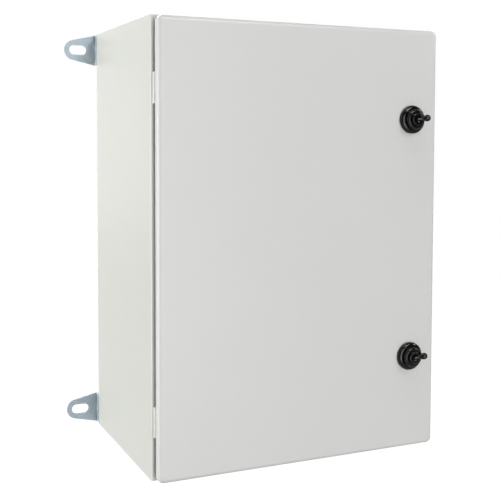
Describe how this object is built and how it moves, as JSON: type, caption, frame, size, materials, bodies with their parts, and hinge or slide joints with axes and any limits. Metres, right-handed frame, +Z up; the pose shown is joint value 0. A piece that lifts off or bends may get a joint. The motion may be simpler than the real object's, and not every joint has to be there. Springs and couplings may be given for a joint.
{
  "type": "steel wall enclosure",
  "caption": "Sheet-steel wall enclosure with a hinged gasketed door, quarter-turn wing latches, mounting plate, gland plate and slotted wall brackets.",
  "frame": {"origin": "centre of the four wall slots, on the wall plane", "axes": "+Z up, +Y into the wall, door faces -Y with its free edge at +X and its hinges at -X"},
  "size_m": [0.426, 0.2805, 0.5],
  "materials": {
    "body_paint": "fine-textured light grey powder coat",
    "door_paint": "fine-textured light grey powder coat",
    "bracket_zinc": "blue-passivated zinc plate",
    "zinc_steel": "bright zinc plate",
    "galvanised_plate": "galvanised sheet",
    "latch_black": "glossy black moulding",
    "door_foam": "foamed polyurethane",
    "seal_rubber": "black rubber sheet"
  },
  "bodies": {
    "body": {"body_wrap": "body_paint", "top_panel": "body_paint", "bottom_panel": "body_paint", "gland_gasket": "seal_rubber", "gland_plate": "body_paint", "gland_studs": "zinc_steel", "gland_nuts": "zinc_steel", "plate_studs": "zinc_steel", "mounting_plate": "galvanised_plate", "plate_nuts": "zinc_steel", "bracket_top_left": "bracket_zinc", "bracket_top_right": "bracket_zinc", "bracket_bottom_left": "bracket_zinc", "bracket_bottom_right": "bracket_zinc", "bracket_screws": "zinc_steel", "bracket_seals": "seal_rubber", "bracket_nuts": "zinc_steel", "body_leaf_top": "body_paint", "body_leaf_bottom": "body_paint", "hinge_pins": "zinc_steel", "body_earth_stud": "zinc_steel", "body_earth_nut": "zinc_steel"},
    "door": {"door_panel": "door_paint", "door_gasket": "door_foam", "door_leaf_top": "body_paint", "door_leaf_bottom": "body_paint", "door_earth_stud": "zinc_steel", "door_earth_nut": "zinc_steel", "lock_housing_top": "latch_black", "lock_housing_bottom": "latch_black", "lock_seals": "seal_rubber", "lock_nuts": "zinc_steel"},
    "latch_top": {"wing_spindle_top": "latch_black", "cam_top": "zinc_steel", "cam_screw_top": "zinc_steel"},
    "latch_bottom": {"wing_spindle_bottom": "latch_black", "cam_bottom": "zinc_steel", "cam_screw_bottom": "zinc_steel"}
  },
  "joints": [
    {"name": "door_hinge", "type": "hinge", "parent": "body", "child": "door", "pos_m": [-0.171, -0.246, 0], "axis": [0, 0, -1], "range_deg": [0, 120]},
    {"name": "latch_top_turn", "type": "hinge", "parent": "door", "child": "latch_top", "pos_m": [0.138, -0.26, 0.143], "axis": [0, 1, 0], "range_deg": [0, 90]},
    {"name": "latch_bottom_turn", "type": "hinge", "parent": "door", "child": "latch_bottom", "pos_m": [0.138, -0.26, -0.138], "axis": [0, 1, 0], "range_deg": [0, 90]}
  ]
}
